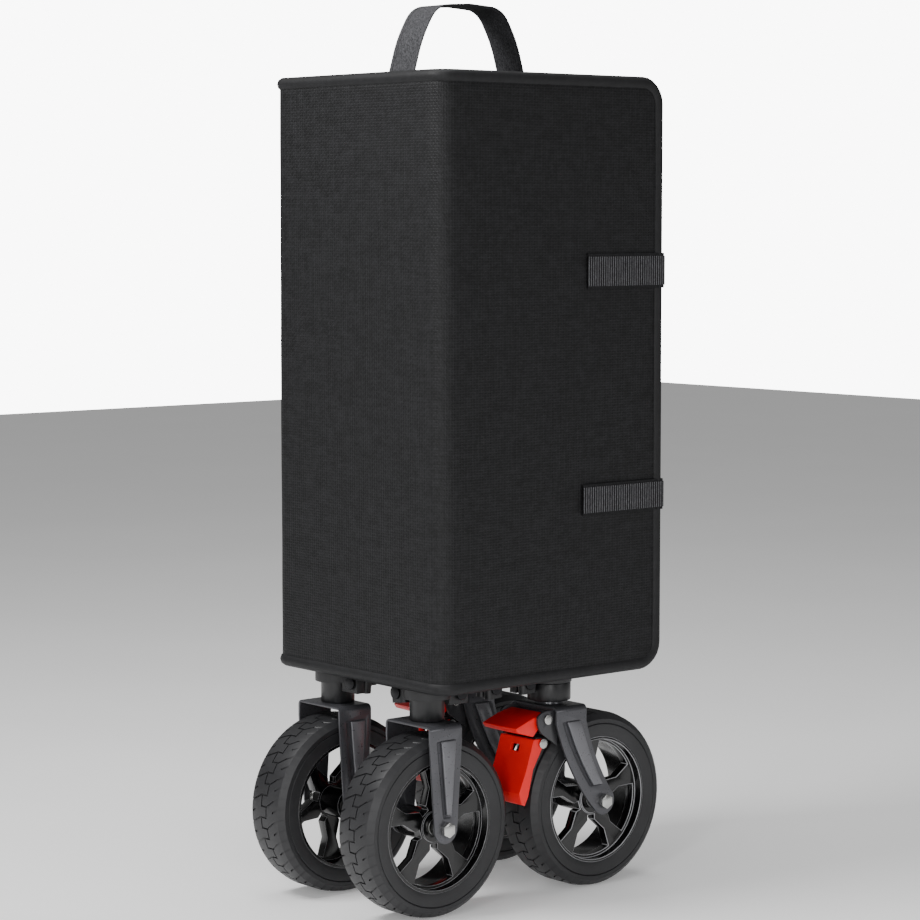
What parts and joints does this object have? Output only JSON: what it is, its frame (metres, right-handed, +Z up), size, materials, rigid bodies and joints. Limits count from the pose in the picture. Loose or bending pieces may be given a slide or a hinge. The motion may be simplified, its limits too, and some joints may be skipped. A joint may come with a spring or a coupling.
{
  "type": "folding wagon with pull handle",
  "caption": "Four-way folding wagon, folded upright and wrapped in its padded floor mat, with swivel casters, brakes, a carry loop and a stowed telescopic pull handle.",
  "frame": {"origin": "centre of the folded object's footprint on the ground, under its bounding box", "axes": "+Z up; +X towards the mat panel that carries the straps (the wagon's right side); +Y towards the swivel casters and the stowed pull handle (the wagon's front)"},
  "size_m": [0.2639, 0.3787, 0.87],
  "materials": {
    "tyre_rubber": "moulded foam-filled tread",
    "rim_plastic": "gloss black moulding",
    "bush_steel": "plain",
    "fork_paint": "satin grey powder coat",
    "bolt_zinc": "bright zinc",
    "collar_plastic": "satin black moulding",
    "frame_paint": "black powder coat",
    "rivet_black": "black oxide",
    "slider_tube": "drawn",
    "bracket_plastic": "glass-filled nylon",
    "brake_red": "red moulding",
    "brake_bracket_paint": "satin grey powder coat",
    "cage_paint": "black powder coat",
    "tub_fabric": "woven polyester",
    "webbing": "ribbed webbing",
    "mat_fabric": "woven polyester",
    "mat_board": "hollow board",
    "loop_tape": "loop pile",
    "handle_paint": "black powder coat",
    "handle_alloy": "anodised",
    "handle_plastic": "satin black moulding",
    "grip_rubber": "soft-touch",
    "button_plastic": "red moulding"
  },
  "bodies": {
    "root": {"rear_left_fork": "fork_paint", "rear_right_fork": "fork_paint", "rear_axle_bolts": "bolt_zinc", "rear_leg_collars": "collar_plastic", "front_swivel_housings": "collar_plastic", "leg_tubes": "frame_paint", "leg_slider_tubes": "slider_tube", "top_corner_brackets": "bracket_plastic", "bottom_corner_brackets": "bracket_plastic", "left_side_lattice": "frame_paint", "right_side_lattice": "frame_paint", "rear_end_lattice": "frame_paint", "front_end_lattice": "frame_paint", "lattice_rivets": "rivet_black", "floor_hub": "bracket_plastic", "floor_struts": "frame_paint", "tub_wall_fabric": "tub_fabric", "tub_floor_fabric": "tub_fabric", "carry_loop": "webbing", "mat_cover": "mat_fabric", "mat_boards": "mat_board", "strap_patches": "loop_tape", "handle_bracket": "frame_paint", "handle_pivot_pin": "bolt_zinc", "handle_links": "frame_paint"},
    "rear_left_wheel": {"rear_left_tyre": "tyre_rubber", "rear_left_rim": "rim_plastic", "rear_left_bush": "bush_steel"},
    "rear_right_wheel": {"rear_right_tyre": "tyre_rubber", "rear_right_rim": "rim_plastic", "rear_right_bush": "bush_steel"},
    "front_left_caster": {"front_left_fork": "fork_paint", "left_brake_bracket": "brake_bracket_paint", "left_brake_cage": "cage_paint", "front_left_fasteners": "bolt_zinc"},
    "front_left_wheel": {"front_left_tyre": "tyre_rubber", "front_left_rim": "rim_plastic", "front_left_bush": "bush_steel"},
    "left_pedal": {"left_brake_pedal": "brake_red"},
    "left_lever": {"left_brake_lever": "brake_red"},
    "front_right_caster": {"front_right_fork": "fork_paint", "right_brake_bracket": "brake_bracket_paint", "right_brake_cage": "cage_paint", "front_right_fasteners": "bolt_zinc"},
    "front_right_wheel": {"front_right_tyre": "tyre_rubber", "front_right_rim": "rim_plastic", "front_right_bush": "bush_steel"},
    "right_pedal": {"right_brake_pedal": "brake_red"},
    "right_lever": {"right_brake_lever": "brake_red"},
    "front_panel": {"front_panel_cover": "mat_fabric", "front_panel_board": "mat_board"},
    "upper_strap_tab": {"upper_strap": "webbing"},
    "lower_strap_tab": {"lower_strap": "webbing"},
    "pull_handle": {"handle_foot": "handle_plastic", "handle_outer_tube": "handle_paint", "handle_lock_collar": "handle_plastic"},
    "handle_extension": {"handle_inner_tube": "handle_alloy", "handle_grip": "grip_rubber"},
    "lock_button": {"handle_lock_button": "button_plastic"}
  },
  "joints": [
    {"name": "rear_left_wheel_spin", "type": "hinge", "parent": "root", "child": "rear_left_wheel", "pos_m": [-0.0692, -0.102, 0.0875], "axis": [1, 0, 0], "continuous": true},
    {"name": "rear_right_wheel_spin", "type": "hinge", "parent": "root", "child": "rear_right_wheel", "pos_m": [0.0692, -0.102, 0.0875], "axis": [1, 0, 0], "continuous": true},
    {"name": "front_left_caster_swivel", "type": "hinge", "parent": "root", "child": "front_left_caster", "pos_m": [-0.0692, 0.05825, 0.1955], "axis": [0, 0, 1], "range_deg": [-16, 45]},
    {"name": "front_left_wheel_spin", "type": "hinge", "parent": "front_left_caster", "child": "front_left_wheel", "pos_m": [-0.0692, 0.10175, 0.0875], "axis": [1, 0, 0], "continuous": true},
    {"name": "left_pedal_press", "type": "hinge", "parent": "front_left_caster", "child": "left_pedal", "pos_m": [-0.0692, 0.031, 0.1765], "axis": [1, 0, 0], "range_deg": [0, 12]},
    {"name": "left_lever_turn", "type": "hinge", "parent": "front_left_caster", "child": "left_lever", "pos_m": [-0.0692, 0.0278, 0.1528], "axis": [1, 0, 0], "range_deg": [0, 6]},
    {"name": "front_right_caster_swivel", "type": "hinge", "parent": "root", "child": "front_right_caster", "pos_m": [0.0692, 0.05825, 0.1955], "axis": [0, 0, -1], "range_deg": [-16, 45]},
    {"name": "front_right_wheel_spin", "type": "hinge", "parent": "front_right_caster", "child": "front_right_wheel", "pos_m": [0.0692, 0.10175, 0.0875], "axis": [1, 0, 0], "continuous": true},
    {"name": "right_pedal_press", "type": "hinge", "parent": "front_right_caster", "child": "right_pedal", "pos_m": [0.0692, 0.031, 0.1765], "axis": [1, 0, 0], "range_deg": [0, 12]},
    {"name": "right_lever_turn", "type": "hinge", "parent": "front_right_caster", "child": "right_lever", "pos_m": [0.0692, 0.0278, 0.1528], "axis": [1, 0, 0], "range_deg": [0, 6]},
    {"name": "front_panel_open", "type": "hinge", "parent": "root", "child": "front_panel", "pos_m": [-0.1308, 0.15235, 0.5097], "axis": [0, 0, 1], "range_deg": [0, 240]},
    {"name": "upper_strap_peel", "type": "hinge", "parent": "front_panel", "child": "upper_strap_tab", "pos_m": [0.1321, 0.15365, 0.6122], "axis": [0, 0, 1], "range_deg": [0, 150]},
    {"name": "lower_strap_peel", "type": "hinge", "parent": "front_panel", "child": "lower_strap_tab", "pos_m": [0.1321, 0.15365, 0.3925], "axis": [0, 0, 1], "range_deg": [0, 150]},
    {"name": "pull_handle_swing", "type": "hinge", "parent": "root", "child": "pull_handle", "pos_m": [0, 0.094, 0.2435], "axis": [-1, 0, 0], "range_deg": [0, 48]},
    {"name": "handle_telescope", "type": "slide", "parent": "pull_handle", "child": "handle_extension", "axis": [0, 0, 1], "range_m": [0, 0.27]},
    {"name": "lock_button_press", "type": "slide", "parent": "pull_handle", "child": "lock_button", "axis": [0, -1, 0], "range_m": [0, 0.0025], "stiffness_N_per_m": 600}
  ],
  "couplings": [
    {"joint": "left_lever_turn", "follows": "left_pedal_press", "ratio": 0.5},
    {"joint": "right_lever_turn", "follows": "right_pedal_press", "ratio": 0.5},
    {"joint": "pull_handle_swing", "follows": "front_panel_open", "ratio": 0.2}
  ]
}
